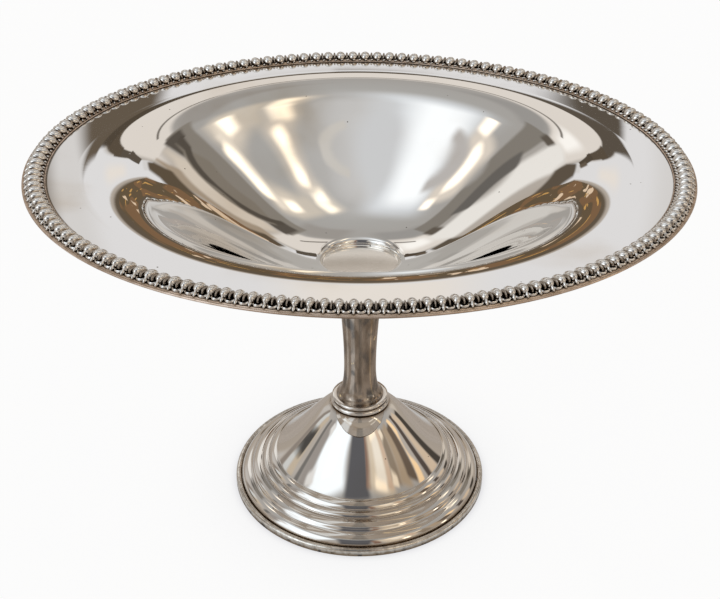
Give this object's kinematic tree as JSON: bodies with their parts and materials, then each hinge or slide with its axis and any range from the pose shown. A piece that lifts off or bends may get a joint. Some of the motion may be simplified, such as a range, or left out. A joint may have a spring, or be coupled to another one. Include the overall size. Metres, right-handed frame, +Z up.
{
  "type": "footed compote bowl",
  "caption": "Shallow round bowl with a flat flange and a beaded border, raised on a waisted hollow stem over a stepped bell foot.",
  "frame": {"origin": "centre of the base, on the surface that the foot stands on", "axes": "+Z up along the axis of the bowl, the stem and the foot; +X and +Y are alike"},
  "size_m": [0.254, 0.254, 0.1619],
  "materials": {
    "plated_sheet": "polished plate with fine scratches, pits and light tarnish",
    "cast_border": "polished crowns over a dark tarnished ground",
    "boss_metal": "dull soldered base metal",
    "stem_plate": "brown mottled tarnish with bright rubbed spots",
    "turned_collar": "bright turned beads over a dark groove",
    "base_wire": "worn speckled brown edge",
    "rod_metal": "dull brass",
    "fixings": "dull brass"
  },
  "bodies": {
    "root": {"bowl": "plated_sheet", "rim_border": "cast_border", "bowl_boss": "boss_metal", "stem": "stem_plate", "collar": "turned_collar", "foot": "plated_sheet", "foot_rim": "base_wire", "tie_rod": "rod_metal", "washer": "fixings", "nut": "fixings"}
  },
  "joints": []
}
